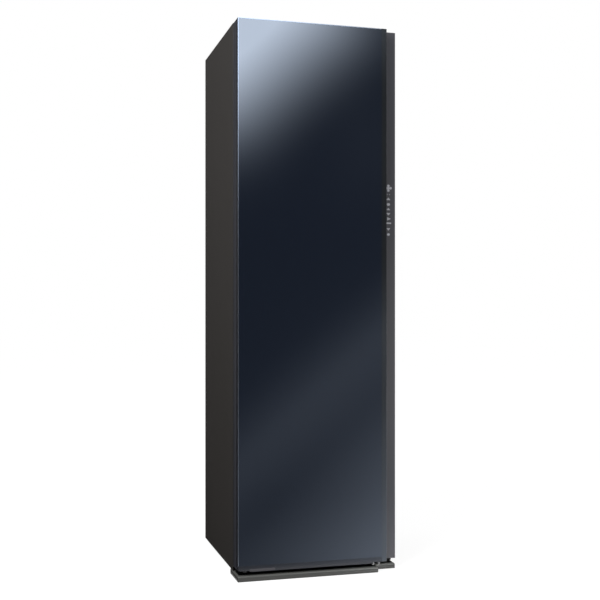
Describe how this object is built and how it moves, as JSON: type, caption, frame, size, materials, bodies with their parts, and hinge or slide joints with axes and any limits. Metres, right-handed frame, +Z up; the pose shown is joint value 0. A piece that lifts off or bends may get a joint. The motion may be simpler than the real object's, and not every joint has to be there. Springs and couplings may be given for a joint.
{
  "type": "clothes care steam cabinet",
  "caption": "Tall free-standing cabinet with a hinged dark mirror door, a hanging chamber, water tanks, filters, heat pump, steam generator and blowers.",
  "frame": {"origin": "on the floor, at the middle of the cabinet's width and depth", "axes": "+X to the right as seen from the front, +Y to the back, +Z up; the door faces -Y"},
  "size_m": [0.595, 0.632, 1.96],
  "materials": {
    "graphite_paint": "satin powder coat",
    "plinth_paint": "satin metallic paint",
    "zinc_steel": "zinc coated sheet",
    "mirror_glass": "dark tinted mirror glass",
    "bright_trim": "bright anodised",
    "rail_metal": "dark anodised",
    "strip_satin": "satin dark anodised",
    "shell_plastic": "fine grain",
    "liner_plastic": "smooth satin",
    "dark_plastic": "fine grain",
    "bush_plastic": "smooth",
    "seal_rubber": "matt",
    "tank_plastic": "smoky clear",
    "rail_chrome": "bright",
    "copper_tube": "drawn copper",
    "lamp_plastic": "milky",
    "fin_metal": "bare fins",
    "motor_black": "black paint",
    "pump_black": "smooth",
    "case_plastic": "smooth"
  },
  "bodies": {
    "cabinet": {"left_side_panel": "graphite_paint", "right_side_panel": "graphite_paint", "top_panel": "graphite_paint", "plinth_cover": "plinth_paint", "back_panel": "zinc_steel", "base_plate": "zinc_steel", "front_beam_top": "zinc_steel", "tank_shelf": "zinc_steel", "hinge_bracket_top": "zinc_steel", "hinge_bracket_bottom": "zinc_steel", "front_frame": "liner_plastic", "liner_left": "liner_plastic", "liner_right": "liner_plastic", "liner_back": "liner_plastic", "chamber_floor": "liner_plastic", "chamber_ceiling": "liner_plastic", "bay_back_wall": "liner_plastic", "filter_housing": "dark_plastic", "circulation_fan_housing": "dark_plastic", "top_blower_housing": "dark_plastic", "steam_nozzle": "dark_plastic", "steam_hose": "seal_rubber", "hanger_rail": "rail_chrome", "refrigerant_pipe": "copper_tube", "lamp_lens": "lamp_plastic", "evaporator": "fin_metal", "condenser": "fin_metal", "compressor": "motor_black", "circulation_fan_motor": "motor_black", "water_pump": "pump_black", "power_inlet": "pump_black", "steam_generator": "case_plastic", "control_box": "case_plastic"},
    "door": {"door_glass": "mirror_glass", "glass_frame": "bright_trim", "grip_rail": "rail_metal", "control_strip": "strip_satin", "door_shell": "shell_plastic", "door_liner": "liner_plastic", "door_gasket": "seal_rubber", "hinge_bush_top": "bush_plastic", "hinge_bush_bottom": "bush_plastic"},
    "supply_tank": {"supply_tank": "tank_plastic", "supply_tank_lid": "dark_plastic"},
    "drain_tank": {"drain_tank": "tank_plastic", "drain_tank_lid": "dark_plastic"},
    "lint_filter": {"lint_filter": "tank_plastic"},
    "deodorising_filter": {"deodorising_filter": "dark_plastic"},
    "shelf": {"shelf": "liner_plastic"},
    "circulation_impeller": {"circulation_impeller": "dark_plastic"},
    "top_impeller": {"top_impeller": "dark_plastic"},
    "hanger_1": {"hanger_1": "dark_plastic"},
    "hanger_2": {"hanger_2": "dark_plastic"},
    "hanger_3": {"hanger_3": "dark_plastic"},
    "hanger_4": {"hanger_4": "dark_plastic"},
    "hanger_5": {"hanger_5": "dark_plastic"},
    "foot_1": {"foot_1": "dark_plastic"},
    "foot_2": {"foot_2": "dark_plastic"},
    "foot_3": {"foot_3": "dark_plastic"},
    "foot_4": {"foot_4": "dark_plastic"}
  },
  "joints": [
    {"name": "door_hinge", "type": "hinge", "parent": "cabinet", "child": "door", "pos_m": [-0.27, -0.294, 0], "axis": [0, 0, -1], "range_deg": [0, 120]},
    {"name": "supply_tank_slide", "type": "slide", "parent": "cabinet", "child": "supply_tank", "axis": [0, -1, 0], "range_m": [0, 0.07]},
    {"name": "drain_tank_slide", "type": "slide", "parent": "cabinet", "child": "drain_tank", "axis": [0, -1, 0], "range_m": [0, 0.07]},
    {"name": "lint_filter_lift", "type": "slide", "parent": "cabinet", "child": "lint_filter", "axis": [0, 0, 1], "range_m": [0, 0.2]},
    {"name": "deodorising_filter_pull", "type": "slide", "parent": "cabinet", "child": "deodorising_filter", "axis": [0, -1, 0], "range_m": [0, 0.06]},
    {"name": "shelf_slide", "type": "slide", "parent": "cabinet", "child": "shelf", "axis": [0, -1, 0], "range_m": [0, 0.07]},
    {"name": "circulation_fan_spin", "type": "hinge", "parent": "cabinet", "child": "circulation_impeller", "pos_m": [0.15, 0.2175, 0.1503], "axis": [0, -1, 0], "continuous": true},
    {"name": "top_fan_spin", "type": "hinge", "parent": "cabinet", "child": "top_impeller", "pos_m": [0, 0.06, 1.826], "axis": [0, 0, 1], "continuous": true},
    {"name": "hanger_1_swing", "type": "hinge", "parent": "cabinet", "child": "hanger_1", "pos_m": [-0.18, 0.0079, 1.7], "axis": [1, 0, 0], "range_deg": [-10, 10]},
    {"name": "hanger_2_swing", "type": "hinge", "parent": "cabinet", "child": "hanger_2", "pos_m": [-0.09, 0.0079, 1.7], "axis": [1, 0, 0], "range_deg": [-10, 10]},
    {"name": "hanger_3_swing", "type": "hinge", "parent": "cabinet", "child": "hanger_3", "pos_m": [0, 0.0079, 1.7], "axis": [1, 0, 0], "range_deg": [-10, 10]},
    {"name": "hanger_4_swing", "type": "hinge", "parent": "cabinet", "child": "hanger_4", "pos_m": [0.09, 0.0079, 1.7], "axis": [1, 0, 0], "range_deg": [-10, 10]},
    {"name": "hanger_5_swing", "type": "hinge", "parent": "cabinet", "child": "hanger_5", "pos_m": [0.18, 0.0079, 1.7], "axis": [1, 0, 0], "range_deg": [-10, 10]},
    {"name": "foot_1_turn", "type": "hinge", "parent": "cabinet", "child": "foot_1", "pos_m": [-0.225, -0.212, 0.02], "axis": [0, 0, 1], "continuous": true},
    {"name": "foot_2_turn", "type": "hinge", "parent": "cabinet", "child": "foot_2", "pos_m": [0.225, -0.212, 0.02], "axis": [0, 0, 1], "continuous": true},
    {"name": "foot_3_turn", "type": "hinge", "parent": "cabinet", "child": "foot_3", "pos_m": [-0.225, 0.2805, 0.02], "axis": [0, 0, 1], "continuous": true},
    {"name": "foot_4_turn", "type": "hinge", "parent": "cabinet", "child": "foot_4", "pos_m": [0.225, 0.2805, 0.02], "axis": [0, 0, 1], "continuous": true}
  ]
}
